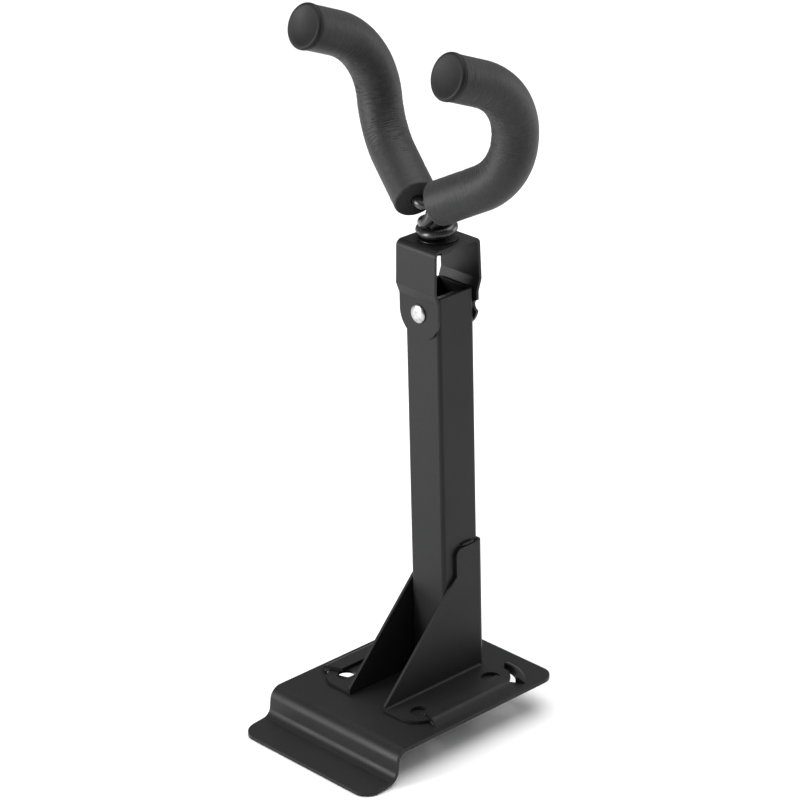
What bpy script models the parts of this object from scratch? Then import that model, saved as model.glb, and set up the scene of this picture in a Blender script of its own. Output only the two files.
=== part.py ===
"""Wall rack: a slat-wall plate, a sliding arm bracket, a folding head and a padded swivel yoke.

The plate lies in the XY plane with its wall face at z = 0.  The arm stands up along +Z on the
world origin, the hooked lip of the plate points to -Y, and the hinge of the head lies along Y.
"""

import math

import bmesh
import bpy
from mathutils import Matrix, Vector
from mathutils.geometry import interpolate_bezier

MM = 0.001

# Clearances, in millimetres
GAP = 0.3                 # between two faces that touch on the real object
HOLE_CLEARANCE = 0.3      # all round a shank in its hole

# Slat-wall plate
PLATE_THICKNESS = 2.0
PLATE_WIDTH = 97.0
PLATE_REAR = 34.0         # arm axis to the rear edge
PLATE_FRONT = 80.8        # arm axis to the first fold of the hooked lip
PLATE_CORNER = 9.0
LIP_DROP = 15.2           # how far the lip steps back into the wall slot
LIP_RUN = 1.8             # how far the steep step runs forward
LIP_LENGTH = 20.9
LIP_TILT = 0.08           # further step back over each millimetre of the lip's length
LIP_BEND = 6.0            # bend radius on the middle of the lip's two folds
SHEET_BEND = 2.5          # bend radius on the middle of the thinner sheets

# Arm and its folded bracket
TUBE_SIDE = 25.0
TUBE_WALL = 1.8
TUBE_CORNER = 2.0
TUBE_TOP = 218.5          # height of the open upper end above the wall
SHEET = 1.6
FOOT_MARGIN = 10.0        # foot's outer edge to the side of the plate
FOOT_FRONT = 58.0
FOOT_REAR = 16.6
FOOT_CORNER = 12.0
FOOT_HOLE = 10.0
FOOT_HOLE_INSET = 10.5    # hole centre to the foot's outer edge
FOOT_HOLE_ENDS = 11.5     # hole centre to the foot's two ends
GUSSET_TIP = 1.4          # height of the gusset's tip above the foot
GUSSET_TOP = 61.4         # height where the slope meets the upright tab
TAB_FRONT = 4.8           # upright tab, forward of the arm axis
TAB_TOP = 76.8
TAB_CORNER = 4.0
RELIEF_HOLE = 4.0
WELD_LENGTH = 9.0
WELD_SIZE = 1.5

# Rails and stops pressed up from the plate
RAIL_OVERLAP = 6.8        # rail over the foot's outer edge
RAIL_SIDE_PLAY = 1.9      # foot to the rail's side wall
RAIL_WALL = 1.8
RAIL_FRONT = 47.0
RAIL_REAR = 6.0
RAIL_SLANT = 3.0          # front corner cut back on the inner side
RAIL_SPLAY = 2.5          # the side wall's foot stands this far outside its top
RAIL_BEND = 2.2           # bend radius on the middle of the rail
STOP_HEIGHT = 3.0
STOP_WIDTH = 6.5
STOP_PLAY = 3.0           # foot end to the stop's sheared face
STOP_FROM = 30.0          # degrees round the foot's rear corner
STOP_TO = 100.0
STOP_CREST = 1.2          # width of the stop's top
STOP_SHOULDER = 4.0       # from the sheared face to the stop's softer outer slope
STOP_SHEAR = 0.05         # clearance of the sheared face in its slot

# Folding head
PIVOT_DEPTH = 10.0        # pivot below the arm's upper end
EAR_RADIUS = 14.0
NECK_RISE = 8.0           # pivot to the start of the outward step
STEP_RISE = 6.0
STEP_OUT = 2.2
CAP_RISE = 26.9           # upper face of the head above the arm's end
CAP_TAPER = 0.8           # legs lean in by this much at the top
NOTCH_RADIUS = 3.1
RIVET_SHANK = 6.0
RIVET_HEAD = 9.9
RIVET_HEAD_HEIGHT = 1.5
RIVET_TAIL = 9.0
RIVET_TAIL_HEIGHT = 1.6
SPACER_WALL = 1.4

# Swivel bolt, washers and nut
BOLT_THREAD = 8.0
BOLT_SHOULDER = 10.0
BOLT_HEAD = 12.2
BOLT_HEAD_HEIGHT = 2.6
BOLT_END = 1.2            # thread showing below the nut
WASHER_OUTER = 21.0
WASHER_THICKNESS = 0.6
NUT_WASHER_OUTER = 16.0
NUT_WASHER_THICKNESS = 1.0
NUT_FLATS = 13.0
NUT_HEIGHT = 4.0

# Yoke: one bent rod with a coil round the bolt, and its padding
ROD = 5.0
COIL_RADIUS = 7.8         # middle of the rod
COIL_START = 240.0        # degrees, where the left lead joins the coil
CLIMB_START = 262.0       # degrees, where the coil starts to climb
COIL_END = 600.0
COIL_PITCH = 5.7
SPIRAL_START = 180.0      # degrees, where the left lead meets the coil's level
SPIRAL_OUT = 3.4          # its distance outside the coil there
OVER_BOLT = (1.7, -1.3, 15.2)       # left lead above the bolt, from the coil's lowest turn
BEHIND_COIL = (-5.6, 13.6, 7.4)     # left lead where it drops behind the coil
IN_FRONT = (3.5, -9.5, 8.8)         # right lead in front of the bolt
LEAD_SHOWS_RIGHT = 0.3    # straight end of each lead outside its padding
LEAD_SHOWS_LEFT = 0.6
ARM_BASE_OUT = 3.55
ARM_BASE_FRONT = 9.3
ARM_BASE_RISE = 16.0      # above the lowest turn of the coil
ARM_FIRST_RUN = 34.6
ARM_FIRST_BEND = 35.9
ARM_SECOND_BEND = 38.9
ARM_LAST_RUN = 21.7
HEADINGS = ((18.2, 26.3), (15.0, 79.7), (-92.3, 21.9))   # azimuth and elevation, degrees
YOKE_TURN = -3.6          # degrees, how the yoke stands at rest
PAD_RADIUS = 11.7
PAD_START_RIGHT = 6.6     # padding beyond the arm's base point
PAD_START_LEFT = 2.8
TIP_CAP_RADIUS = 12.0
TIP_CAP_HEIGHT = 2.4
ROD_SHORT = 1.5           # rod ends this far inside the padding

# Sizes that follow
HALF_TUBE = TUBE_SIDE / 2
SIDE_IN = HALF_TUBE + GAP
SIDE_OUT = SIDE_IN + SHEET
FOOT_BOTTOM = PLATE_THICKNESS + GAP
FOOT_TOP = FOOT_BOTTOM + SHEET
FOOT_OUT = PLATE_WIDTH / 2 - FOOT_MARGIN
RAIL_IN = FOOT_OUT - RAIL_OVERLAP
RAIL_OUT = FOOT_OUT + RAIL_SIDE_PLAY + RAIL_WALL
RAIL_BOTTOM = FOOT_TOP + GAP
RAIL_TOP = RAIL_BOTTOM + RAIL_WALL
WINDOW_IN = RAIL_IN - (RAIL_TOP - PLATE_THICKNESS)     # the metal that makes the rail's side
RAIL_FOOT = RAIL_OUT + RAIL_SPLAY                      # outer edge of the rail where it rises
FOOT_HOLE_X = FOOT_OUT - FOOT_HOLE_INSET
FOOT_HOLE_FRONT = -FOOT_FRONT + FOOT_HOLE_ENDS
FOOT_HOLE_REAR = FOOT_REAR - FOOT_HOLE_ENDS
FOOT_CENTRE_X = FOOT_OUT - FOOT_CORNER
FOOT_CENTRE_Y = FOOT_REAR - FOOT_CORNER
PIVOT_HEIGHT = TUBE_TOP - PIVOT_DEPTH
CAP_TOP = TUBE_TOP + CAP_RISE
CAP_UNDER = CAP_TOP - SHEET
WASHER_BOTTOM = CAP_TOP + GAP
COIL_LEVEL = WASHER_BOTTOM + WASHER_THICKNESS + GAP + ROD / 2
BOLT_HEAD_BOTTOM = COIL_LEVEL + COIL_PITCH * (COIL_END - CLIMB_START) / 360 + ROD / 2 + GAP
NUT_WASHER_TOP = CAP_UNDER - GAP
NUT_TOP = NUT_WASHER_TOP - NUT_WASHER_THICKNESS - GAP


# ---------------------------------------------------------------- helpers

def clear_scene():
    for item in list(bpy.data.objects):
        bpy.data.objects.remove(item)


def material(name, colour, roughness, metallic):
    made = bpy.data.materials.new(name)
    made.use_nodes = True
    shader = made.node_tree.nodes["Principled BSDF"]
    shader.inputs["Base Color"].default_value = (*colour, 1.0)
    shader.inputs["Roughness"].default_value = roughness
    shader.inputs["Metallic"].default_value = metallic
    return made


def new_object(name, mesh, look=None):
    made = bpy.data.objects.new(name, mesh)
    bpy.context.collection.objects.link(made)
    if look:
        mesh.materials.append(look)
    return made


def mesh_from(name, bm, smooth_angle=None):
    """Turn a bmesh in millimetres into a mesh in metres."""
    bmesh.ops.recalc_face_normals(bm, faces=bm.faces)
    bmesh.ops.scale(bm, vec=(MM, MM, MM), verts=bm.verts)
    mesh = bpy.data.meshes.new(name)
    bm.to_mesh(mesh)
    bm.free()
    if smooth_angle:
        mesh.shade_smooth()
        mesh.set_sharp_from_angle(angle=math.radians(smooth_angle))
    return mesh


def prism(name, outline, axis, low, high, look=None):
    """Extrude a 2-D outline along X (outline in y, z), Y (x, z) or Z (x, y)."""
    place = {
        "X": lambda u, v: (low, u, v),
        "Y": lambda u, v: (u, low, v),
        "Z": lambda u, v: (u, v, low),
    }[axis]
    along = {"X": Vector((1, 0, 0)), "Y": Vector((0, 1, 0)), "Z": Vector((0, 0, 1))}[axis]
    bm = bmesh.new()
    face = bm.faces.new([bm.verts.new(place(u, v)) for u, v in outline])
    grown = bmesh.ops.extrude_face_region(bm, geom=[face])
    moved = [item for item in grown["geom"] if isinstance(item, bmesh.types.BMVert)]
    bmesh.ops.translate(bm, vec=along * (high - low), verts=moved)
    return new_object(name, mesh_from(name, bm, 30), look)


def turned(name, profile, look=None, closed=False, steps=32, turn=None):
    """Spin a (radius, height) profile round Z.  A closed profile makes a ring."""
    bm = bmesh.new()
    points = [bm.verts.new((radius, 0, height)) for radius, height in profile]
    edges = [bm.edges.new(pair) for pair in zip(points, points[1:])]
    if closed:
        edges.append(bm.edges.new((points[-1], points[0])))
    bmesh.ops.spin(bm, geom=points + edges, cent=(0, 0, 0), axis=(0, 0, 1),
                   angle=2 * math.pi, steps=steps, use_merge=True)
    bmesh.ops.remove_doubles(bm, verts=bm.verts, dist=0.001)
    if turn:
        bmesh.ops.transform(bm, matrix=turn, verts=bm.verts)
    return new_object(name, mesh_from(name, bm, 40), look)


def carve(target, tool, operation="DIFFERENCE"):
    step = target.modifiers.new(tool.name, "BOOLEAN")
    step.operation = operation
    step.solver = "EXACT"
    step.object = tool
    tool.hide_render = True
    tool.display_type = "WIRE"


def attach(parent, parts):
    """Hang parts, and the tools that shape them, on an empty that sits on a joint's axis."""
    for part in parts:
        tools = [step.object for step in part.modifiers if step.type == "BOOLEAN"]
        for item in [part] + tools:
            item.parent = parent
            item.location = -parent["stands_at"] * Vector((0, 0, 1))


def empty(name, height, parent=None, turn=0.0):
    """An empty on the Z axis at a height in millimetres."""
    made = bpy.data.objects.new(name, None)
    bpy.context.collection.objects.link(made)
    made["stands_at"] = height * MM
    base = parent["stands_at"] if parent else 0.0
    made.parent = parent
    made.location = (0, 0, height * MM - base)
    made.rotation_euler = (0, 0, math.radians(turn))
    return made


def arc(centre, radius, start, end, steps):
    """Points round a 2-D centre, angles in degrees."""
    angles = [math.radians(start + (end - start) * k / steps) for k in range(steps + 1)]
    return [(centre[0] + radius * math.cos(a), centre[1] + radius * math.sin(a)) for a in angles]


def circle(centre, radius, steps=32):
    return arc(centre, radius, 0, 360, steps)[:-1]


def rounded_rectangle(x0, x1, y0, y1, radius, steps=6):
    outline = []
    corners = ((x1, y1, 0), (x0, y1, 90), (x0, y0, 180), (x1, y0, 270))
    for x, y, start in corners:
        inward_x = radius if x == x0 else -radius
        inward_y = radius if y == y0 else -radius
        outline += arc((x + inward_x, y + inward_y), radius, start, start + 90, steps)
    return outline


def rounded_route(corners, radius, steps=4):
    """Replace each inner corner of an open 2-D route by an arc."""
    points = [Vector(corners[0])]
    for before, corner, after in zip(corners, corners[1:], corners[2:]):
        corner = Vector(corner)
        back = (Vector(before) - corner).normalized()
        ahead = (Vector(after) - corner).normalized()
        half = back.angle(ahead) / 2
        reach = radius / math.tan(half)
        centre = corner + (back + ahead).normalized() * (radius / math.sin(half))
        first = corner + back * reach - centre
        last = corner + ahead * reach - centre
        sweep = first.angle_signed(last)
        for k in range(steps + 1):
            spin = Matrix.Rotation(-sweep * k / steps, 2)
            points.append(centre + spin @ first)
    points.append(Vector(corners[-1]))
    return points


def ribbon(points, thickness):
    """Closed outline of a sheet of even thickness whose middle follows the points."""
    left = []
    right = []
    for index, point in enumerate(points):
        before = points[max(index - 1, 0)]
        after = points[min(index + 1, len(points) - 1)]
        entry = (point - before).normalized() if index else (after - point).normalized()
        leave = (after - point).normalized() if index < len(points) - 1 else entry
        middle = (entry + leave).normalized()
        side = Vector((-middle.y, middle.x)) * (thickness / 2 / middle.dot(entry))
        left.append(point + side)
        right.append(point - side)
    return [tuple(p) for p in left + right[::-1]]


# ---------------------------------------------------------------- wall plate

def wall_plate(look):
    """Flat plate with a hooked lip, two raised rails and two raised stops, all one sheet."""
    middle = PLATE_THICKNESS / 2
    lip_start = -PLATE_FRONT - LIP_RUN
    route = [
        (PLATE_REAR, middle),
        (-PLATE_FRONT, middle),
        (lip_start, middle - LIP_DROP),
        (lip_start - LIP_LENGTH, middle - LIP_DROP - LIP_TILT * LIP_LENGTH),
    ]
    half = PLATE_WIDTH / 2
    plate = prism("wall_plate", ribbon(rounded_route(route, LIP_BEND, 7), PLATE_THICKNESS),
                  "X", -half, half, look)
    corners = rounded_rectangle(-half, half, lip_start - LIP_LENGTH, PLATE_REAR, PLATE_CORNER)
    outline = prism("plate_outline_guide", corners, "Z", -LIP_DROP - 5, PLATE_THICKNESS + 5)
    carve(plate, outline, "INTERSECT")
    for side in (-1, 1):
        add_rail(plate, side)
        add_stop(plate, side)
    return plate


def add_rail(plate, side):
    """Raised strip over the foot's edge, with the window that its metal came from."""
    tag = "right" if side > 0 else "left"
    window = [
        (side * WINDOW_IN, -RAIL_FRONT + RAIL_SLANT / 2),
        (side * (RAIL_FOOT - RAIL_WALL), -RAIL_FRONT - RAIL_SLANT),
        (side * (RAIL_FOOT - RAIL_WALL), RAIL_REAR),
        (side * WINDOW_IN, RAIL_REAR),
    ]
    carve(plate, prism(f"rail_window_cutter_{tag}", window, "Z", -1, PLATE_THICKNESS + 1))

    section_middle = [
        (RAIL_FOOT - RAIL_WALL / 2, PLATE_THICKNESS / 2),
        (RAIL_OUT - RAIL_WALL / 2, RAIL_TOP - RAIL_WALL / 2),
        (RAIL_IN, RAIL_TOP - RAIL_WALL / 2),
    ]
    section = ribbon(rounded_route(section_middle, RAIL_BEND), RAIL_WALL)
    mirrored = [(side * x, z) for x, z in section]
    rail = prism(f"rail_guide_{tag}", mirrored, "Y", -RAIL_FRONT - RAIL_SLANT, RAIL_REAR)
    carve(plate, rail, "UNION")

    slant = [
        (side * (RAIL_IN - 1), -RAIL_FRONT - RAIL_SLANT - 1),
        (side * (RAIL_FOOT - 1), -RAIL_FRONT - RAIL_SLANT - 1),
        (side * (RAIL_IN - 1), -RAIL_FRONT + RAIL_SLANT / 2),
    ]
    carve(plate, prism(f"rail_slant_cutter_{tag}", slant, "Z", PLATE_THICKNESS + 0.2, RAIL_TOP + 1))


def add_stop(plate, side):
    """Half-moon ridge behind the foot's rounded corner, with the sheared slot in front of it."""
    tag = "right" if side > 0 else "left"
    centre = (FOOT_CENTRE_X, FOOT_CENTRE_Y)
    inner = FOOT_CORNER + STOP_PLAY
    slot = arc(centre, inner, STOP_FROM, STOP_TO, 10)
    slot += arc(centre, inner - 2 * STOP_PLAY, STOP_TO, STOP_FROM, 10)
    mirrored = [(side * x, y) for x, y in slot]
    carve(plate, prism(f"stop_slot_cutter_{tag}", mirrored, "Z", -1, PLATE_THICKNESS + 1))

    bm = bmesh.new()
    front = inner + STOP_SHEAR
    root = PLATE_THICKNESS / 4
    top = PLATE_THICKNESS + STOP_HEIGHT
    section = [(front, root), (front, top), (front + STOP_CREST, top)]
    section += [(front + STOP_SHOULDER, top - STOP_HEIGHT * 0.45), (inner + STOP_WIDTH, root)]
    turn = math.radians(STOP_TO - STOP_FROM)
    face = bm.faces.new([bm.verts.new((radius, 0, height)) for radius, height in section])
    start = Matrix.Rotation(math.radians(STOP_FROM), 3, "Z")
    bmesh.ops.rotate(bm, cent=(0, 0, 0), matrix=start, verts=bm.verts)
    bmesh.ops.spin(bm, geom=[face], cent=(0, 0, 0), axis=(0, 0, 1), angle=turn, steps=10)
    bmesh.ops.translate(bm, vec=(*centre, 0), verts=bm.verts)
    if side < 0:
        bmesh.ops.scale(bm, vec=(-1, 1, 1), verts=bm.verts)
    stop = new_object(f"stop_guide_{tag}", mesh_from(f"stop_guide_{tag}", bm))
    carve(plate, stop, "UNION")


# ---------------------------------------------------------------- arm and bracket

def arm_bracket(look):
    """Folded sheet: a channel round the arm, two gussets and two feet turned outwards."""
    middle = SIDE_IN + SHEET / 2
    route = [(middle, -FOOT_FRONT), (middle, middle), (-middle, middle), (-middle, -FOOT_FRONT)]
    channel = ribbon(rounded_route(route, SHEET_BEND), SHEET)
    bracket = prism("arm_bracket", channel, "Z", FOOT_BOTTOM, TAB_TOP, look)

    shape = [
        (-FOOT_FRONT - 1, FOOT_BOTTOM - 1),
        (SIDE_OUT + 1, FOOT_BOTTOM - 1),
        (SIDE_OUT + 1, TAB_TOP + 1),
        (-TAB_FRONT + TAB_CORNER, TAB_TOP + 1),
    ]
    shape += arc((-TAB_FRONT + TAB_CORNER, TAB_TOP - TAB_CORNER), TAB_CORNER, 90, 180, 6)
    shape += [
        (-TAB_FRONT, GUSSET_TOP),
        (-FOOT_FRONT, FOOT_TOP + GUSSET_TIP),
        (-FOOT_FRONT - 1, FOOT_TOP + GUSSET_TIP),
    ]
    guide = prism("gusset_outline_guide", shape, "X", -SIDE_OUT - 1, SIDE_OUT + 1)
    carve(bracket, guide, "INTERSECT")

    for side in (-1, 1):
        tag = "right" if side > 0 else "left"
        foot = [(SIDE_IN, -FOOT_FRONT)]
        foot += arc((FOOT_CENTRE_X, -FOOT_FRONT + FOOT_CORNER), FOOT_CORNER, -90, 0, 8)
        foot += arc((FOOT_CENTRE_X, FOOT_CENTRE_Y), FOOT_CORNER, 0, 90, 8)
        foot += [(SIDE_OUT + 0.2, FOOT_REAR), (SIDE_OUT + 0.2, SIDE_IN - 2), (SIDE_IN, SIDE_IN - 2)]
        mirrored = [(side * x, y) for x, y in foot]
        blank = prism(f"foot_guide_{tag}", mirrored, "Z", FOOT_BOTTOM, FOOT_TOP)
        carve(bracket, blank, "UNION")
        for end, y in (("front", FOOT_HOLE_FRONT), ("rear", FOOT_HOLE_REAR)):
            hole = circle((side * FOOT_HOLE_X, y), FOOT_HOLE / 2, 24)
            name = f"foot_hole_cutter_{tag}_{end}"
            carve(bracket, prism(name, hole, "Z", FOOT_BOTTOM - 1, FOOT_TOP + 1))
        relief = circle((side * (SIDE_OUT + 0.2), SIDE_OUT + 0.6), RELIEF_HOLE / 2, 16)
        name = f"relief_cutter_{tag}"
        carve(bracket, prism(name, relief, "Z", FOOT_BOTTOM - 1, FOOT_TOP + 3))
    return bracket


def arm_tube(look):
    """Square tube, open at the top, with the cross hole of the hinge."""
    outer = rounded_rectangle(-HALF_TUBE, HALF_TUBE, -HALF_TUBE, HALF_TUBE, TUBE_CORNER)
    tube = prism("arm_tube", outer, "Z", FOOT_BOTTOM, TUBE_TOP, look)
    inside = HALF_TUBE - TUBE_WALL
    bore = rounded_rectangle(-inside, inside, -inside, inside, max(TUBE_CORNER - TUBE_WALL, 0.4), 2)
    carve(tube, prism("tube_bore_cutter", bore, "Z", FOOT_BOTTOM - 1, TUBE_TOP + 1))
    carve(tube, hinge_hole("tube_hinge_hole_cutter", SIDE_OUT))
    return tube


def hinge_hole(name, reach):
    """Cutter along Y for the hinge rivet."""
    radius = RIVET_SHANK / 2 + HOLE_CLEARANCE
    return prism(name, circle((0, PIVOT_HEIGHT), radius, 24), "Y", -reach - 3, reach + 3)


def weld_beads(look):
    """Short fillets where the bracket's top edges meet the arm."""
    height = TAB_TOP + GAP + WELD_SIZE / 2
    out = HALF_TUBE + GAP + WELD_SIZE / 2
    tab_middle = (SIDE_IN - TAB_FRONT) / 2
    places = {
        "weld_bead_right": (out, tab_middle, 90),
        "weld_bead_left": (-out, tab_middle, 90),
        "weld_bead_rear": (0, out, 0),
    }
    beads = []
    for name, (x, y, heading) in places.items():
        bm = bmesh.new()
        bmesh.ops.create_uvsphere(bm, u_segments=16, v_segments=10, radius=0.5)
        bmesh.ops.scale(bm, vec=(WELD_LENGTH, WELD_SIZE, WELD_SIZE), verts=bm.verts)
        spin = Matrix.Rotation(math.radians(heading), 4, "Z")
        bmesh.ops.transform(bm, matrix=Matrix.Translation((x, y, height)) @ spin, verts=bm.verts)
        beads.append(new_object(name, mesh_from(name, bm, 60), look))
    return beads


# ---------------------------------------------------------------- folding head

def head_cap(look):
    """Inverted U of sheet whose legs step in to the arm and end in round ears."""
    ear = SIDE_IN + SHEET / 2
    wide = ear + STEP_OUT
    top = wide - CAP_TAPER
    step = PIVOT_HEIGHT + NECK_RISE
    height = CAP_TOP - SHEET / 2
    left = [(-ear, PIVOT_HEIGHT - EAR_RADIUS - 1), (-ear, step), (-wide, step + STEP_RISE)]
    route = left + [(-top, height)] + [(top, height)] + [(-y, z) for y, z in left[::-1]]
    outline = ribbon(rounded_route(route, SHEET_BEND), SHEET)
    cap = prism("head_cap", outline, "X", -EAR_RADIUS, EAR_RADIUS, look)

    shape = arc((0, PIVOT_HEIGHT), EAR_RADIUS, 180, 360, 24)
    shape += [(EAR_RADIUS + 1, PIVOT_HEIGHT), (EAR_RADIUS + 1, CAP_TOP + 2)]
    shape += [(-EAR_RADIUS - 1, CAP_TOP + 2), (-EAR_RADIUS - 1, PIVOT_HEIGHT)]
    carve(cap, prism("ear_outline_guide", shape, "Y", -wide - 5, wide + 5), "INTERSECT")
    carve(cap, hinge_hole("cap_hinge_hole_cutter", wide))
    notch = circle((EAR_RADIUS + 0.5, PIVOT_HEIGHT), NOTCH_RADIUS, 20)
    carve(cap, prism("ear_notch_cutter", notch, "Y", HALF_TUBE, wide + 5))
    bolt_hole = circle((0, 0), BOLT_THREAD / 2 + HOLE_CLEARANCE)
    carve(cap, prism("bolt_hole_cutter", bolt_hole, "Z", CAP_UNDER - 1, CAP_TOP + 1))
    return cap


def hinge_rivet(look):
    """Rivet along Y: shown head at the front, formed tail at the rear."""
    seat = SIDE_OUT + GAP
    shank = RIVET_SHANK / 2
    head = RIVET_HEAD / 2
    tail = RIVET_TAIL / 2
    profile = [
        (0, seat + RIVET_HEAD_HEIGHT),
        (head - 1.2, seat + RIVET_HEAD_HEIGHT),
        (head - 0.3, seat + RIVET_HEAD_HEIGHT * 0.6),
        (head, seat + 0.3),
        (head, seat),
        (shank, seat),
        (shank, -seat),
        (tail, -seat),
        (tail, -seat - RIVET_TAIL_HEIGHT * 0.5),
        (tail - 1.2, -seat - RIVET_TAIL_HEIGHT),
        (0, -seat - RIVET_TAIL_HEIGHT),
    ]
    turn = Matrix.Translation((0, 0, PIVOT_HEIGHT)) @ Matrix.Rotation(math.pi / 2, 4, "X")
    return turned("hinge_rivet", profile, look, turn=turn)


def hinge_spacer(look):
    """Sleeve inside the arm that keeps the rivet from crushing it."""
    half = HALF_TUBE - TUBE_WALL - GAP
    inner = RIVET_SHANK / 2 + HOLE_CLEARANCE
    outer = inner + SPACER_WALL
    profile = [(inner, -half), (outer, -half), (outer, half), (inner, half)]
    turn = Matrix.Translation((0, 0, PIVOT_HEIGHT)) @ Matrix.Rotation(math.pi / 2, 4, "X")
    return turned("hinge_spacer", profile, look, closed=True, turn=turn)


def washer(name, inner, outer, bottom, thickness, look):
    top = bottom + thickness
    profile = [(inner, bottom), (outer, bottom), (outer, top), (inner, top)]
    return turned(name, profile, look, closed=True)


def swivel_bolt(look):
    """Shoulder bolt: low head, shoulder inside the coil, thread through the head."""
    head = BOLT_HEAD / 2
    shoulder = BOLT_SHOULDER / 2
    thread = BOLT_THREAD / 2
    top = BOLT_HEAD_BOTTOM + BOLT_HEAD_HEIGHT
    end = NUT_TOP - NUT_HEIGHT - BOLT_END
    profile = [
        (0, top - 0.6),
        (head * 0.35, top - 0.6),
        (head * 0.45, top),
        (head - 0.8, top),
        (head, top - 0.8),
        (head, BOLT_HEAD_BOTTOM),
        (shoulder, BOLT_HEAD_BOTTOM),
        (shoulder, CAP_TOP + GAP),
        (thread, CAP_TOP + GAP),
        (thread, end + 0.6),
        (thread - 0.6, end),
        (0, end),
    ]
    return turned("swivel_bolt", profile, look)


def swivel_nut(look):
    flats = circle((0, 0), NUT_FLATS / 2 / math.cos(math.pi / 6), 6)
    nut = prism("swivel_nut", flats, "Z", NUT_TOP - NUT_HEIGHT, NUT_TOP, look)
    bore = circle((0, 0), BOLT_THREAD / 2 + HOLE_CLEARANCE)
    carve(nut, prism("nut_bore_cutter", bore, "Z", NUT_TOP - NUT_HEIGHT - 1, NUT_TOP + 1))
    return nut


# ---------------------------------------------------------------- yoke

def heading(azimuth, elevation):
    flat = math.cos(math.radians(elevation))
    return Vector((flat * math.cos(math.radians(azimuth)),
                   flat * math.sin(math.radians(azimuth)),
                   math.sin(math.radians(elevation))))


def bend(start, before, after, radius, steps):
    """Points of an arc that turns one heading into another, without its first point."""
    axis = before.cross(after).normalized()
    centre = start + axis.cross(before) * radius
    sweep = before.angle(after)
    arm = start - centre
    turns = [Matrix.Rotation(sweep * k / steps, 3, axis) for k in range(1, steps + 1)]
    return [centre + turn @ arm for turn in turns]


def arm_route():
    """Middle of the right arm from its base to its tip."""
    first, second, third = (heading(*pair) for pair in HEADINGS)
    points = [arm_base(), arm_base() + first * ARM_FIRST_RUN / 2, arm_base() + first * ARM_FIRST_RUN]
    points += bend(points[-1], first, second, ARM_FIRST_BEND, 7)
    points += bend(points[-1], second, third, ARM_SECOND_BEND, 12)
    runs = 4
    points += [points[-1] + third * ARM_LAST_RUN * k / runs for k in range(1, runs + 1)]
    return points


def arm_base():
    return Vector((ARM_BASE_OUT, -ARM_BASE_FRONT, COIL_LEVEL + ARM_BASE_RISE))


def mirrored_route(points):
    return [Vector((-point.x, point.y, point.z)) for point in points]


def coil_point(angle, radius):
    climb = max(angle - CLIMB_START, 0) / 360 * COIL_PITCH
    turn = math.radians(angle)
    return Vector((radius * math.cos(turn), radius * math.sin(turn), COIL_LEVEL + climb))


def coil_heading(angle, climb=0.0):
    turn = math.radians(angle)
    return Vector((-math.sin(turn), math.cos(turn), climb)).normalized()


def eased(start, leaving, end, arriving, pulls, steps):
    """Smooth run between two points with set headings, without its first point."""
    points = interpolate_bezier(start, start + leaving * pulls[0],
                                end - arriving * pulls[1], end, steps + 1)
    return list(points)[1:]


def rod_route():
    """Middle of the whole rod, from the left tip through the coil to the right tip.

    The left lead leaves its padding, crosses over the bolt to the rear, drops behind the coil
    and spirals in under it; the coil climbs one turn; the right lead rises in front of the bolt.
    """
    right = arm_route()
    left = mirrored_route(right)
    outward = heading(*HEADINGS[0])
    inward = Vector((outward.x, -outward.y, -outward.z))
    level = Vector((0, 0, COIL_LEVEL))
    over_bolt, behind, in_front = (Vector(place) + level for place in (OVER_BOLT, BEHIND_COIL, IN_FRONT))
    joint = coil_point(SPIRAL_START, COIL_RADIUS + SPIRAL_OUT)

    points = left[:0:-1] + [left[0] - inward * (PAD_START_LEFT - LEAD_SHOWS_LEFT)]
    points += eased(points[-1], inward, over_bolt, heading(100, -4), (4.4, 4.3), 9)
    points += eased(points[-1], heading(100, -4), behind, heading(120, -84), (5.3, 6.3), 9)
    points += eased(points[-1], heading(120, -84), joint, coil_heading(SPIRAL_START), (5.5, 8.0), 8)
    for share in (0.25, 0.5, 0.75, 1.0):
        angle = SPIRAL_START + (COIL_START - SPIRAL_START) * share
        points.append(coil_point(angle, COIL_RADIUS + SPIRAL_OUT * (1 - share)))
    steps = 25
    for k in range(1, steps + 1):
        points.append(coil_point(COIL_START + (COIL_END - COIL_START) * k / steps, COIL_RADIUS))
    points += eased(points[-1], coil_heading(COIL_END, 0.1), in_front, heading(5, 45), (4.7, 3.7), 5)
    join = right[0] + outward * (PAD_START_RIGHT - LEAD_SHOWS_RIGHT)
    points += eased(points[-1], heading(5, 45), join, outward, (4.0, 4.0), 6)
    return points + right[1:]


def pipe(name, points, radius, sides_step, look, capped=True):
    """A curve object along the points, in metres, with a round bevel."""
    curve = bpy.data.curves.new(name, "CURVE")
    curve.dimensions = "3D"
    curve.bevel_depth = radius * MM
    curve.bevel_resolution = sides_step
    curve.use_fill_caps = capped
    curve.materials.append(look)
    line = curve.splines.new("POLY")
    line.points.add(len(points) - 1)
    for knot, point in zip(line.points, points):
        knot.co = (*(point * MM), 1.0)
    line.use_smooth = True
    made = bpy.data.objects.new(name, curve)
    bpy.context.collection.objects.link(made)
    return made


def shortened(points, start, end):
    """Cut lengths off the two ends of a route."""
    first = points[0] + (points[1] - points[0]).normalized() * start
    last = points[-1] + (points[-2] - points[-1]).normalized() * end
    return [first] + points[1:-1] + [last]


def yoke_rod(look):
    pad_end = TIP_CAP_HEIGHT + GAP + ROD_SHORT
    return pipe("yoke_rod", shortened(rod_route(), pad_end, pad_end), ROD / 2, 4, look)


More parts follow.
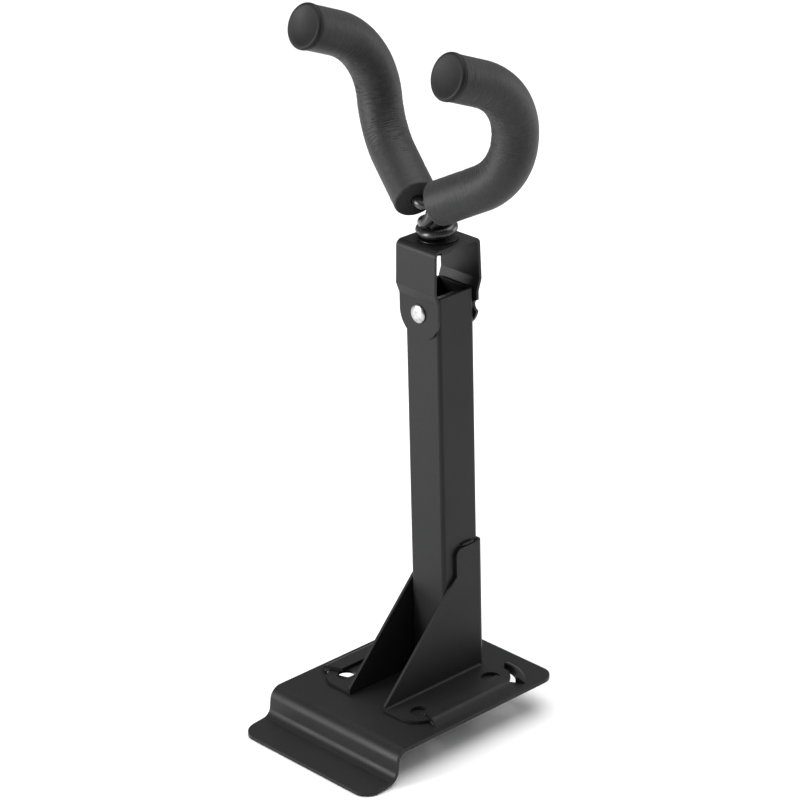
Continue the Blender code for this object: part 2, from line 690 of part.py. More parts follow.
def pad(name, route, start, look):
    """Foam sleeve on one arm, with the bore that the rod runs in."""
    sleeve = pipe(name, shortened(route, start, TIP_CAP_HEIGHT + GAP), PAD_RADIUS, 6, look, False)
    wall = sleeve.modifiers.new("wall", "SOLIDIFY")
    wall.thickness = (PAD_RADIUS - ROD / 2 - HOLE_CLEARANCE) * MM
    wall.offset = -1.0
    return sleeve


def tip_cap(name, route, look):
    """Round end cap glued on the padding's tip."""
    outward = (route[-1] - route[-2]).normalized()
    radius = TIP_CAP_RADIUS
    profile = [
        (0, 0),
        (radius * 0.55, -0.1),
        (radius - 1.2, -0.4),
        (radius - 0.3, -1.0),
        (radius, -1.7),
        (radius, -TIP_CAP_HEIGHT),
        (0, -TIP_CAP_HEIGHT),
    ]
    turn = Matrix.Translation(route[-1]) @ outward.to_track_quat("Z", "Y").to_matrix().to_4x4()
    return turned(name, profile, look, turn=turn)


# ---------------------------------------------------------------- assembly

def main():
    clear_scene()
    steel = material("black_powder_coat", (0.018, 0.018, 0.019), 0.48, 0.0)
    rod_steel = material("black_rod_coat", (0.02, 0.02, 0.021), 0.4, 0.0)
    weld = material("painted_weld", (0.022, 0.022, 0.023), 0.55, 0.0)
    zinc = material("bright_zinc", (0.75, 0.75, 0.76), 0.32, 1.0)
    black_zinc = material("black_zinc", (0.03, 0.03, 0.032), 0.4, 0.8)
    foam = material("foam_black", (0.03, 0.03, 0.031), 0.85, 0.0)
    vinyl = material("vinyl_black", (0.028, 0.028, 0.029), 0.8, 0.0)

    wall_plate(steel)

    slide = empty("slide_guide", FOOT_BOTTOM)
    attach(slide, [arm_bracket(steel), arm_tube(steel), hinge_spacer(zinc)] + weld_beads(weld))

    hinge = empty("hinge_axis", PIVOT_HEIGHT, slide)
    head_parts = [
        head_cap(steel),
        hinge_rivet(zinc),
        swivel_bolt(black_zinc),
        washer("nut_washer", BOLT_THREAD / 2 + HOLE_CLEARANCE, NUT_WASHER_OUTER / 2,
               NUT_WASHER_TOP - NUT_WASHER_THICKNESS, NUT_WASHER_THICKNESS, black_zinc),
        washer("coil_washer", BOLT_SHOULDER / 2 + HOLE_CLEARANCE, WASHER_OUTER / 2,
               WASHER_BOTTOM, WASHER_THICKNESS, black_zinc),
        swivel_nut(black_zinc),
    ]
    attach(hinge, head_parts)

    swivel = empty("swivel_axis", COIL_LEVEL, hinge, YOKE_TURN)
    right = arm_route()
    left = mirrored_route(right)
    yoke_parts = [
        yoke_rod(rod_steel),
        pad("pad_right", right, PAD_START_RIGHT, foam),
        pad("pad_left", left, PAD_START_LEFT, foam),
        tip_cap("tip_cap_right", right, vinyl),
        tip_cap("tip_cap_left", left, vinyl),
    ]
    attach(swivel, yoke_parts)


main()
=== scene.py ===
"""Slat-wall hanger: hooked plate, sliding bracket with a square arm, folding head, padded yoke.

The studio is laid out in metres.  The sizes in the other sections are in millimetres, and
from_bmesh turns each mesh into metres.
+Z runs along the arm, -Y points to the hooked lip, +X to the right arm of the yoke.
"""

import math

import bmesh
import bpy
from mathutils import Matrix, Vector, noise
from mathutils.geometry import interpolate_bezier


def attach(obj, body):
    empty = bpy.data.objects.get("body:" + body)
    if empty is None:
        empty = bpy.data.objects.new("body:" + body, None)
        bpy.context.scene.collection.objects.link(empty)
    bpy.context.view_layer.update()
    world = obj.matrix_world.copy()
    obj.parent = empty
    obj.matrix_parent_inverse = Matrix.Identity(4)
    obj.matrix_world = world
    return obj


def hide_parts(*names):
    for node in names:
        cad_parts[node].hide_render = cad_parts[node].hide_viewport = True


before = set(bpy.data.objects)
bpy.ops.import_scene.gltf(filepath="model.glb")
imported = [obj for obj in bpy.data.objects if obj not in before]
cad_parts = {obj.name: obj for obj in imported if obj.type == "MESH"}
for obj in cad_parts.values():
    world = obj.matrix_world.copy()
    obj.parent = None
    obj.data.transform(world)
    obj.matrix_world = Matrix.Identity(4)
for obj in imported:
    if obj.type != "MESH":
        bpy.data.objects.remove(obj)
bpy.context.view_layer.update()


# ---------------------------------------------------------------- camera and studio
# A long lens looks down on the hanger from its right front corner.  It stands on a white
# table in a light tent, with large soft lights on both sides, above and behind.

camera = bpy.data.objects.new("camera", bpy.data.cameras.new("camera"))
bpy.context.collection.objects.link(camera)
camera.data.sensor_width = 36.0
camera.data.lens = 149.5
camera.data.clip_end = 20.0
camera.matrix_world = Matrix((
    (0.6862, -0.2799, 0.6713, 1.1292),
    (0.7270, 0.2936, -0.6207, -1.0729),
    (-0.0233, 0.9140, 0.4050, 0.8468),
    (0.0, 0.0, 0.0, 1.0),
))
bpy.context.scene.camera = camera

FLOOR_LEVEL = -0.0171   # just under the lowest point of the lip
TABLE_REACH = 6.0
HANGER_MIDDLE = (0, 0, 0.18)
table = bmesh.new()
bmesh.ops.create_grid(table, x_segments=1, y_segments=1, size=TABLE_REACH)
bmesh.ops.translate(table, vec=(0, 0, FLOOR_LEVEL), verts=table.verts)
floor_mesh = bpy.data.meshes.new("studio_floor")
table.to_mesh(floor_mesh)
table.free()
studio_floor = bpy.data.objects.new("studio_floor", floor_mesh)
bpy.context.collection.objects.link(studio_floor)
white_table = bpy.data.materials.new("white_table")
white_table.use_nodes = True
table_shader = white_table.node_tree.nodes["Principled BSDF"]
table_shader.inputs["Base Color"].default_value = (0.96, 0.96, 0.96, 1.0)
table_shader.inputs["Roughness"].default_value = 0.9
table_shader.inputs["Specular IOR Level"].default_value = 0.1
floor_mesh.materials.append(white_table)

tent = bpy.data.worlds.new("light_tent")
tent.use_nodes = True
tent.node_tree.nodes["Background"].inputs["Color"].default_value = (1.0, 1.0, 1.0, 1.0)
tent.node_tree.nodes["Background"].inputs["Strength"].default_value = 0.27
bpy.context.scene.world = tent
bpy.context.scene.view_settings.view_transform = "Standard"


def softbox(name, place, size, power, target=HANGER_MIDDLE):
    """A rectangular soft light that faces its target."""
    lamp = bpy.data.lights.new(name, "AREA")
    lamp.shape = "RECTANGLE"
    lamp.size, lamp.size_y = size
    lamp.energy = power
    made = bpy.data.objects.new(name, lamp)
    bpy.context.collection.objects.link(made)
    made.location = place
    aim = Vector(target) - Vector(place)
    made.rotation_euler = aim.to_track_quat("-Z", "Y").to_euler()


softbox("left_softbox", (-0.9, -1.7, 0.5), (0.8, 1.2), power=47.0)
softbox("right_softbox", (1.9, 0.9, 0.5), (0.5, 1.0), power=1.0)
softbox("top_softbox", (0.0, 0.35, 2.0), (2.4, 2.4), power=54.0, target=(0, 0, 0.15))
softbox("rear_softbox", (0.9, 1.9, 0.6), (0.9, 1.2), power=16.0)


# ---------------------------------------------------------------- wall plate
# One piece of 2 mm sheet.  Its front edge steps back to make the lip that hooks into the
# wall slot, and two rails and two stops are pressed up from it.  Black powder coat all over.

MM = 0.001
GAP = 0.3
PLATE_THICKNESS = 2.0
PLATE_WIDTH = 97.0
PLATE_REAR = 34.0
PLATE_FRONT = 80.8
PLATE_CORNER = 9.0
LIP_DROP = 15.2
LIP_RUN = 1.8
LIP_LENGTH = 20.9
LIP_TILT = 0.08
LIP_BEND = 6.0

EDGE_BREAK = 0.28
EDGE_ANGLE = 35
SMOOTH_ANGLE = 32
OVERLAP = 0.2       # how far joined solids run into each other
CUT_PAST = 1.0      # how far a cutter passes the face it cuts
CUT_ACROSS = 25.0   # half the length of a cutter that goes right through the hanger

TUBE_SIDE = 25.0
SHEET = 1.6
SIDE_IN = TUBE_SIDE / 2 + GAP
SIDE_OUT = SIDE_IN + SHEET
FOOT_MARGIN = 10.0
FOOT_OUT = PLATE_WIDTH / 2 - FOOT_MARGIN
FOOT_BOTTOM = PLATE_THICKNESS + GAP
FOOT_TOP = FOOT_BOTTOM + SHEET
FOOT_CORNER = 12.0
FOOT_REAR = 16.6

RAIL_WALL = 1.8
RAIL_LAP = 6.8
RAIL_PLAY = 1.9
RAIL_SPLAY = 2.5
RAIL_IN = FOOT_OUT - RAIL_LAP
RAIL_OUT = FOOT_OUT + RAIL_PLAY + RAIL_WALL
RAIL_TOP = FOOT_TOP + GAP + RAIL_WALL
RAIL_FRONT = 47.0
RAIL_REAR = 6.0
RAIL_SLANT = 3.0
RAIL_FOOT = RAIL_OUT + RAIL_SPLAY
RAIL_BEND = 2.2
WINDOW_IN = RAIL_IN - (RAIL_TOP - PLATE_THICKNESS)
WINDOW_CORNER = 1.0

STOP_HEIGHT = 3.0
STOP_WIDTH = 6.5
STOP_PLAY = 3.0
STOP_FROM = 30.0
STOP_TO = 100.0
STOP_ROOT = 0.5
# Top of a stop: how far out from its slot and how far above its crest.
STOP_RIDGE = ((0.05, -0.45), (0.4, -0.05), (1.2, 0.0), (2.2, -0.35), (3.2, -0.95),
              (4.3, -1.85), (5.3, -2.7))


def coat(name, colour, roughness, grain, grain_depth, unevenness, gloss=0.19):
    """A baked finish: fine grain in the surface, and a gloss that drifts a little."""
    made = bpy.data.materials.new(name)
    made.use_nodes = True
    tree = made.node_tree
    shader = tree.nodes["Principled BSDF"]
    shader.inputs["Specular IOR Level"].default_value = gloss
    place = tree.nodes.new("ShaderNodeTexCoord")

    fine = tree.nodes.new("ShaderNodeTexNoise")
    fine.inputs["Scale"].default_value = grain
    fine.inputs["Detail"].default_value = 3.0
    wide = tree.nodes.new("ShaderNodeTexNoise")
    wide.inputs["Scale"].default_value = 55.0
    wide.inputs["Detail"].default_value = 4.0
    for pattern in (fine, wide):
        tree.links.new(place.outputs["Object"], pattern.inputs["Vector"])

    tone = tree.nodes.new("ShaderNodeMapRange")
    tone.inputs["From Min"].default_value = 0.3
    tone.inputs["From Max"].default_value = 0.7
    tone.inputs["To Min"].default_value = roughness - unevenness
    tone.inputs["To Max"].default_value = roughness + unevenness
    tree.links.new(wide.outputs["Fac"], tone.inputs["Value"])
    tree.links.new(tone.outputs["Result"], shader.inputs["Roughness"])

    shade = tree.nodes.new("ShaderNodeValToRGB")
    shade.color_ramp.elements[0].position = 0.35
    shade.color_ramp.elements[0].color = (*[c * 0.8 for c in colour], 1.0)
    shade.color_ramp.elements[1].position = 0.7
    shade.color_ramp.elements[1].color = (*[c * 1.25 for c in colour], 1.0)
    tree.links.new(fine.outputs["Fac"], shade.inputs["Fac"])
    tree.links.new(shade.outputs["Color"], shader.inputs["Base Color"])

    bump = tree.nodes.new("ShaderNodeBump")
    bump.inputs["Strength"].default_value = 1.0
    bump.inputs["Distance"].default_value = grain_depth * MM
    tree.links.new(fine.outputs["Fac"], bump.inputs["Height"])
    tree.links.new(bump.outputs["Normal"], shader.inputs["Normal"])
    return made


powder_coat = coat("black_powder_coat", (0.011, 0.011, 0.0113), roughness=0.42,
                   grain=2600.0, grain_depth=0.035, unevenness=0.05)


def from_bmesh(name, bm):
    """The bmesh, in millimetres, becomes an object in metres."""
    bmesh.ops.recalc_face_normals(bm, faces=bm.faces)
    bmesh.ops.scale(bm, vec=(MM, MM, MM), verts=bm.verts)
    mesh = bpy.data.meshes.new(name)
    bm.to_mesh(mesh)
    bm.free()
    made = bpy.data.objects.new(name, mesh)
    bpy.context.collection.objects.link(made)
    return made


def placed(axis, u, v, w):
    """A point from its place in a profile (u, v) and its place w along an axis."""
    return {"X": (w, u, v), "Y": (u, w, v), "Z": (u, v, w)}[axis]


def arc(centre, radius, start, end, steps):
    """Points of an arc in a profile, with both its ends.  Angles are in degrees."""
    turns = [math.radians(start + (end - start) * k / steps) for k in range(steps + 1)]
    return [(centre[0] + radius * math.cos(turn), centre[1] + radius * math.sin(turn))
            for turn in turns]


def blank(name, corners, axis, low, high, rounds=()):
    """A flat blank cut to an outline and given a thickness.

    rounds has the number of each corner that is rounded, and its radius.
    """
    bm = bmesh.new()
    verts = [bm.verts.new(placed(axis, u, v, low)) for u, v in corners]
    bm.faces.new(verts)
    for index, radius in rounds:
        corner = verts[index]
        bmesh.ops.bevel(bm, geom=[corner], offset=radius, offset_type="OFFSET",
                        segments=8, profile=0.5, affect="VERTICES", material=-1,
                        clamp_overlap=True)
    grown = bmesh.ops.extrude_face_region(bm, geom=bm.faces[:])
    moved = [item for item in grown["geom"] if isinstance(item, bmesh.types.BMVert)]
    bmesh.ops.translate(bm, vec=placed(axis, 0, 0, high - low), verts=moved)
    return from_bmesh(name, bm)


def folded(name, corners, radius, thickness, axis, low, high, segments=6):
    """Sheet of even thickness, folded along straight lines.  corners is its middle line."""
    bm = bmesh.new()
    verts = [bm.verts.new(placed(axis, u, v, low)) for u, v in corners]
    edges = [bm.edges.new(pair) for pair in zip(verts, verts[1:])]
    grown = bmesh.ops.extrude_edge_only(bm, edges=edges)
    moved = [item for item in grown["geom"] if isinstance(item, bmesh.types.BMVert)]
    bmesh.ops.translate(bm, vec=placed(axis, 0, 0, high - low), verts=moved)
    folds = [edge for edge in bm.edges if len(edge.link_faces) == 2]
    for fold in folds:
        turn = fold.calc_face_angle()
        bmesh.ops.bevel(bm, geom=[fold], offset=radius * math.tan(turn / 2),
                        offset_type="OFFSET", segments=segments, profile=0.5,
                        affect="EDGES", material=-1)
    made = from_bmesh(name, bm)
    wall = made.modifiers.new("thickness", "SOLIDIFY")
    wall.thickness = thickness * MM
    wall.offset = 0.0
    wall.use_even_offset = True
    settle(made)
    return made


def settle(piece):
    """Apply every modifier of a piece."""
    graph = bpy.context.evaluated_depsgraph_get()
    graph.update()
    done = bpy.data.meshes.new_from_object(piece.evaluated_get(graph))
    done.name = piece.name
    old = piece.data
    piece.modifiers.clear()
    piece.data = done
    bpy.data.meshes.remove(old)


def cut(piece, tool, operation="DIFFERENCE"):
    """Cut a piece with a tool, or join or trim it, and throw the tool away."""
    step = piece.modifiers.new("cut", "BOOLEAN")
    step.operation = operation
    step.solver = "EXACT"
    step.object = tool
    settle(piece)
    bpy.data.objects.remove(tool)


def round_tool(name, radius, centre, axis, low, high, sides=48):
    """Round cutter along an axis; centre is its place across that axis."""
    turn = {"X": Matrix.Rotation(math.pi / 2, 4, "Y"),
            "Y": Matrix.Rotation(math.pi / 2, 4, "X"),
            "Z": Matrix.Identity(4)}[axis]
    bm = bmesh.new()
    bmesh.ops.create_cone(bm, cap_ends=True, segments=sides, radius1=radius,
                          radius2=radius, depth=high - low, matrix=turn)
    middle = placed(axis, *centre, (low + high) / 2)
    bmesh.ops.translate(bm, vec=middle, verts=bm.verts)
    return from_bmesh(name, bm)


def finish(piece, body, nodes, material, edge=EDGE_BREAK):
    """Break the sharp edges, smooth the bends, add the material and tie the piece to its body."""
    mesh = piece.data
    mesh.materials.clear()
    mesh.materials.append(material)
    bm = bmesh.new()
    bm.from_mesh(mesh)
    bmesh.ops.remove_doubles(bm, verts=bm.verts, dist=1e-6)
    bmesh.ops.dissolve_limit(bm, angle_limit=math.radians(0.5), verts=bm.verts,
                             edges=bm.edges)
    bmesh.ops.recalc_face_normals(bm, faces=bm.faces)
    bm.to_mesh(mesh)
    bm.free()
    if edge:
        broken = piece.modifiers.new("edge_break", "BEVEL")
        broken.width = edge * MM
        broken.segments = 3
        broken.limit_method = "ANGLE"
        broken.angle_limit = math.radians(EDGE_ANGLE)
        broken.use_clamp_overlap = True
        settle(piece)
    piece.data.shade_smooth()
    piece.data.set_sharp_from_angle(angle=math.radians(SMOOTH_ANGLE))
    even = piece.modifiers.new("flat_faces", "WEIGHTED_NORMAL")
    even.keep_sharp = True
    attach(piece, body)
    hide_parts(*nodes)


def mirrored(corners, side):
    """A profile as it is for side 1, and flipped for side -1."""
    return [(side * u, v) for u, v in corners]


lip_start = -PLATE_FRONT - LIP_RUN
lip_end = lip_start - LIP_LENGTH
half_width = PLATE_WIDTH / 2
plate_middle = PLATE_THICKNESS / 2
plate_route = [(PLATE_REAR, plate_middle), (-PLATE_FRONT, plate_middle),
               (lip_start, plate_middle - LIP_DROP),
               (lip_end, plate_middle - LIP_DROP - LIP_TILT * LIP_LENGTH)]
wall_plate_sheet = folded("wall_plate_sheet", plate_route, LIP_BEND, PLATE_THICKNESS,
                          "X", -half_width, half_width, segments=12)
corner_points = [(-half_width, lip_end), (half_width, lip_end), (half_width, PLATE_REAR),
                 (-half_width, PLATE_REAR)]
corner_blank = blank("corner_blank", corner_points, "Z", -CUT_ACROSS, CUT_ACROSS,
                     [(index, PLATE_CORNER) for index in range(4)])
cut(wall_plate_sheet, corner_blank, "INTERSECT")

foot_corner_centre = (FOOT_OUT - FOOT_CORNER, FOOT_REAR - FOOT_CORNER)
for side in (-1, 1):
    window_out = RAIL_FOOT - RAIL_WALL
    window = [(WINDOW_IN, -RAIL_FRONT + RAIL_SLANT / 2),
              (window_out, -RAIL_FRONT - RAIL_SLANT), (window_out, RAIL_REAR),
              (WINDOW_IN, RAIL_REAR)]
    cut(wall_plate_sheet, blank("rail_window", mirrored(window, side), "Z", -CUT_PAST,
                                PLATE_THICKNESS + CUT_PAST,
                                [(0, WINDOW_CORNER), (3, WINDOW_CORNER)]))
    rail_route = [(RAIL_FOOT - RAIL_WALL / 2, plate_middle),
                  (RAIL_OUT - RAIL_WALL / 2, RAIL_TOP - RAIL_WALL / 2),
                  (RAIL_IN, RAIL_TOP - RAIL_WALL / 2)]
    rail = folded("rail", mirrored(rail_route, side), RAIL_BEND, RAIL_WALL,
                  "Y", -RAIL_FRONT - RAIL_SLANT, RAIL_REAR)
    slant_front = -RAIL_FRONT - RAIL_SLANT - CUT_PAST
    slant = [(RAIL_IN - CUT_PAST, slant_front), (RAIL_FOOT - CUT_PAST, slant_front),
             (RAIL_IN - CUT_PAST, -RAIL_FRONT + RAIL_SLANT / 2)]
    cut(rail, blank("rail_slant", mirrored(slant, side), "Z", PLATE_THICKNESS + OVERLAP,
                    RAIL_TOP + CUT_PAST))
    cut(wall_plate_sheet, rail, "UNION")

    inner = FOOT_CORNER + STOP_PLAY
    sweep = math.radians(STOP_TO - STOP_FROM)
    start = Matrix.Rotation(math.radians(STOP_FROM), 3, "Z")
    slot_in = inner - 2 * STOP_PLAY
    slot_top = PLATE_THICKNESS + CUT_PAST
    slot_section = [(slot_in, -CUT_PAST), (inner, -CUT_PAST), (inner, slot_top),
                    (slot_in, slot_top)]
    crest = PLATE_THICKNESS + STOP_HEIGHT
    ridge_section = [(inner + STOP_RIDGE[0][0], STOP_ROOT)]
    ridge_section += [(inner + outward, crest + rise) for outward, rise in STOP_RIDGE]
    ridge_section.append((inner + STOP_WIDTH, STOP_ROOT))
    for section, operation in ((slot_section, "DIFFERENCE"), (ridge_section, "UNION")):
        bm = bmesh.new()
        face = bm.faces.new([bm.verts.new((u, 0, v)) for u, v in section])
        bmesh.ops.rotate(bm, cent=(0, 0, 0), matrix=start, verts=bm.verts)
        bmesh.ops.spin(bm, geom=[face], cent=(0, 0, 0), axis=(0, 0, 1), angle=sweep,
                       steps=24)
        bmesh.ops.translate(bm, vec=(*foot_corner_centre, 0), verts=bm.verts)
        bmesh.ops.scale(bm, vec=(side, 1, 1), verts=bm.verts)
        cut(wall_plate_sheet, from_bmesh("stop_tool", bm), operation)

finish(wall_plate_sheet, "plate", ["wall_plate"], powder_coat)


# ---------------------------------------------------------------- arm bracket
# Folded from 1.6 mm sheet: a channel that wraps the arm, two sloping gussets, and two feet
# that slide under the rails.  A small round notch relieves each fold at the back.

FOOT_FRONT = 58.0
FOOT_HOLE = 10.0
FOOT_HOLE_IN = 10.5
FOOT_HOLE_ENDS = 11.5
GUSSET_TIP = 1.4
GUSSET_TOP = 61.4
TAB_FRONT = 4.8
TAB_TOP = 76.8
TAB_CORNER = 4.0
TAB_DRAFT = 0.01
BRACKET_BEND = 2.4
RELIEF_HOLE = 4.0
RELIEF_RISE = 3.0
RELIEF_AT = (SIDE_OUT + 0.2, SIDE_OUT + 0.6)
FOLD_INSIDE = 1.3
FOLD_REAR = SIDE_IN - 2.0

bracket_middle = SIDE_IN + SHEET / 2
channel_route = [(bracket_middle, -FOOT_FRONT), (bracket_middle, bracket_middle),
                 (-bracket_middle, bracket_middle), (-bracket_middle, -FOOT_FRONT)]
bracket_sheet = folded("bracket_sheet", channel_route, BRACKET_BEND, SHEET,
                       "Z", FOOT_BOTTOM, TAB_TOP)
past_side = SIDE_OUT + CUT_PAST
past_top = TAB_TOP + CUT_PAST
past_front = -FOOT_FRONT - CUT_PAST
gusset_shape = [(past_front, FOOT_BOTTOM - CUT_PAST), (past_side, FOOT_BOTTOM - CUT_PAST),
                (past_side, past_top), (-TAB_FRONT - TAB_DRAFT, past_top),
                (-TAB_FRONT, GUSSET_TOP), (-FOOT_FRONT, FOOT_TOP + GUSSET_TIP),
                (past_front, FOOT_TOP + GUSSET_TIP)]
gusset_blank = blank("gusset_blank", gusset_shape, "X", -past_side, past_side)
cut(bracket_sheet, gusset_blank, "INTERSECT")
tab_corner = [(-TAB_FRONT - CUT_PAST, past_top),
              (-TAB_FRONT - CUT_PAST, TAB_TOP - TAB_CORNER)]
tab_corner += arc((-TAB_FRONT + TAB_CORNER, TAB_TOP - TAB_CORNER), TAB_CORNER, 180, 90, 4)
tab_corner.append((-TAB_FRONT + TAB_CORNER, past_top))
cut(bracket_sheet, blank("tab_corner", tab_corner, "X", -past_side, past_side))

for side in (-1, 1):
    foot = [(SIDE_IN, -FOOT_FRONT), (FOOT_OUT, -FOOT_FRONT), (FOOT_OUT, FOOT_REAR),
            (SIDE_OUT + OVERLAP, FOOT_REAR), (SIDE_OUT + OVERLAP, FOLD_REAR),
            (SIDE_IN, FOLD_REAR)]
    cut(bracket_sheet, blank("foot_blank", mirrored(foot, side), "Z", FOOT_BOTTOM, FOOT_TOP,
                             [(1, FOOT_CORNER), (2, FOOT_CORNER)]), "UNION")
    fold = [(SIDE_OUT - OVERLAP, FOOT_TOP - OVERLAP),
            (SIDE_OUT + FOLD_INSIDE, FOOT_TOP - OVERLAP)]
    fold += arc((SIDE_OUT + FOLD_INSIDE, FOOT_TOP + FOLD_INSIDE), FOLD_INSIDE, 270, 180, 4)
    fold.append((SIDE_OUT - OVERLAP, FOOT_TOP + FOLD_INSIDE))
    fold_inside = blank("fold_inside", mirrored(fold, side), "Y", -FOOT_FRONT, FOLD_REAR)
    cut(bracket_sheet, fold_inside, "UNION")
    for y in (-FOOT_FRONT + FOOT_HOLE_ENDS, FOOT_REAR - FOOT_HOLE_ENDS):
        hole_at = (side * (FOOT_OUT - FOOT_HOLE_IN), y)
        cut(bracket_sheet, round_tool("foot_hole", FOOT_HOLE / 2, hole_at, "Z",
                                      FOOT_BOTTOM - CUT_PAST, FOOT_TOP + CUT_PAST))
    relief_at = (side * RELIEF_AT[0], RELIEF_AT[1])
    cut(bracket_sheet, round_tool("relief", RELIEF_HOLE / 2, relief_at, "Z",
                                  FOOT_BOTTOM - CUT_PAST, FOOT_TOP + RELIEF_RISE, sides=32))

finish(bracket_sheet, "arm", ["arm_bracket"], powder_coat)


# ---------------------------------------------------------------- weld beads
# Short electric welds hold the bracket's top edges to the arm.  Each is a chain of
# overlapping ripples, painted over with the rest.

WELD_LENGTH = 9.0
WELD_SIZE = 1.5
WELD_TROUGH = 0.86
RIPPLE_RATE = 2.1
RIPPLE_LEAN = 0.25
RIPPLE_HEIGHT = 0.1
LUMP_RATE = 0.6
LUMP_HEIGHT = 0.06

painted_weld = coat("painted_weld", (0.014, 0.014, 0.0145), roughness=0.4, grain=1800.0,
                    grain_depth=0.06, unevenness=0.06)
tab_middle = (SIDE_IN - TAB_FRONT) / 2
weld_out = TUBE_SIDE / 2 + GAP + WELD_SIZE / 2
weld_places = {"weld_bead_right": (weld_out, tab_middle, 90),
               "weld_bead_left": (-weld_out, tab_middle, 90),
               "weld_bead_rear": (0, weld_out, 0)}
for node, (x, y, turn) in weld_places.items():
    bm = bmesh.new()
    bmesh.ops.create_uvsphere(bm, u_segments=40, v_segments=64, radius=0.5,
                              matrix=Matrix.Rotation(math.pi / 2, 4, "Y"))
    bmesh.ops.scale(bm, vec=(WELD_LENGTH, WELD_SIZE, WELD_SIZE), verts=bm.verts)
    for vert in bm.verts:
        ripple = abs(math.sin(vert.co.x * RIPPLE_RATE + RIPPLE_LEAN * vert.co.y))
        lump = noise.noise(vert.co * LUMP_RATE + Vector((x, y, 0)))
        vert.co.yz *= WELD_TROUGH + RIPPLE_HEIGHT * ripple + LUMP_HEIGHT * lump
    seam = Matrix.Translation((x, y, TAB_TOP + GAP + WELD_SIZE / 2))
    seam @= Matrix.Rotation(math.radians(turn), 4, "Z")
    bmesh.ops.transform(bm, matrix=seam, verts=bm.verts)
    finish(from_bmesh(node + "_ripples", bm), "arm", [node], painted_weld,
           edge=0)


# ---------------------------------------------------------------- arm
# Square tube with a thin wall, open at the top, with a sleeve across it for the rivet.

TUBE_WALL = 1.8
TUBE_CORNER = 2.2
BORE_CORNER = 0.5
TUBE_TOP = 218.5
PIVOT_DEPTH = 10.0
PIVOT_HEIGHT = TUBE_TOP - PIVOT_DEPTH
RIVET_SHANK = 6.0
HOLE_CLEARANCE = 0.3
SLEEVE_WALL = 1.4


def square_bar(name, half, corner, low, high):
    """An upright square bar on the arm's axis, with rounded corners."""
    outline = [(-half, -half), (half, -half), (half, half), (-half, half)]
    return blank(name, outline, "Z", low, high, [(index, corner) for index in range(4)])


half_tube = TUBE_SIDE / 2
hinge_hole = RIVET_SHANK / 2 + HOLE_CLEARANCE
arm_square_tube = square_bar("arm_square_tube", half_tube, TUBE_CORNER, FOOT_BOTTOM, TUBE_TOP)
cut(arm_square_tube, square_bar("tube_bore", half_tube - TUBE_WALL, BORE_CORNER,
                                FOOT_BOTTOM - CUT_PAST, TUBE_TOP + CUT_PAST))
cut(arm_square_tube, round_tool("hinge_hole", hinge_hole, (0, PIVOT_HEIGHT), "Y",
                                -CUT_ACROSS, CUT_ACROSS))
finish(arm_square_tube, "arm", ["arm_tube"], powder_coat)


def turned(name, profile, closed=False, turn=None):
    """Lathe work: a (radius, height) profile spun round Z, then turned into place."""
    bm = bmesh.new()
    points = [bm.verts.new((radius, 0, height)) for radius, height in profile]
    edges = [bm.edges.new(pair) for pair in zip(points, points[1:])]
    if closed:
        edges.append(bm.edges.new((points[-1], points[0])))
    bmesh.ops.spin(bm, geom=points + edges, cent=(0, 0, 0), axis=(0, 0, 1),
                   angle=2 * math.pi, steps=64, use_merge=True)
    bmesh.ops.remove_doubles(bm, verts=bm.verts, dist=0.001)
    if turn:
        bmesh.ops.transform(bm, matrix=turn, verts=bm.verts)
    return from_bmesh(name, bm)


bright_zinc = coat("bright_zinc", (0.42, 0.42, 0.43), roughness=0.38, grain=700.0,
                   grain_depth=0.16, unevenness=0.12)
bright_zinc.node_tree.nodes["Principled BSDF"].inputs["Metallic"].default_value = 1.0
across = Matrix.Translation((0, 0, PIVOT_HEIGHT)) @ Matrix.Rotation(math.pi / 2, 4, "X")
sleeve_end = half_tube - TUBE_WALL - GAP
sleeve_out = hinge_hole + SLEEVE_WALL
sleeve_profile = [(hinge_hole, -sleeve_end), (sleeve_out, -sleeve_end),
                  (sleeve_out, sleeve_end), (hinge_hole, sleeve_end)]
hinge_sleeve = turned("hinge_sleeve", sleeve_profile, closed=True, turn=across)
finish(hinge_sleeve, "arm", ["hinge_spacer"], bright_zinc, edge=0.2)


# ---------------------------------------------------------------- folding head
# An upside-down U of 1.6 mm sheet.  Its legs step in to hug the arm and end in round ears;
# the rear ear has a small notch.

EAR_RADIUS = 14.0
NECK_RISE = 8.0
STEP_RISE = 6.0
STEP_OUT = 2.2
CAP_RISE = 26.9
CAP_TOP = TUBE_TOP + CAP_RISE
CAP_TAPER = 0.8
HEAD_BEND = 2.6
NOTCH_RADIUS = 3.1
NOTCH_OUT = 0.5
BOLT_THREAD = 8.0

ear = SIDE_IN + SHEET / 2
shoulder = ear + STEP_OUT
cap_leg = [(-ear, PIVOT_HEIGHT - EAR_RADIUS - 1), (-ear, PIVOT_HEIGHT + NECK_RISE),
           (-shoulder, PIVOT_HEIGHT + NECK_RISE + STEP_RISE),
           (-shoulder + CAP_TAPER, CAP_TOP - SHEET / 2)]
cap_route = cap_leg + mirrored(cap_leg[::-1], -1)
head_sheet = folded("head_sheet", cap_route, HEAD_BEND, SHEET, "X", -EAR_RADIUS, EAR_RADIUS)
past_ear = EAR_RADIUS + CUT_PAST
past_cap = CAP_TOP + CUT_PAST
upper_part = [(-past_ear, PIVOT_HEIGHT), (past_ear, PIVOT_HEIGHT), (past_ear, past_cap),
              (-past_ear, past_cap)]
ear_outline = blank("ear_outline", upper_part, "Y", -CUT_ACROSS, CUT_ACROSS)
ear_round = round_tool("ear_round", EAR_RADIUS, (0, PIVOT_HEIGHT), "Y", -CUT_ACROSS,
                       CUT_ACROSS, sides=96)
cut(ear_outline, ear_round, "UNION")
cut(head_sheet, ear_outline, "INTERSECT")
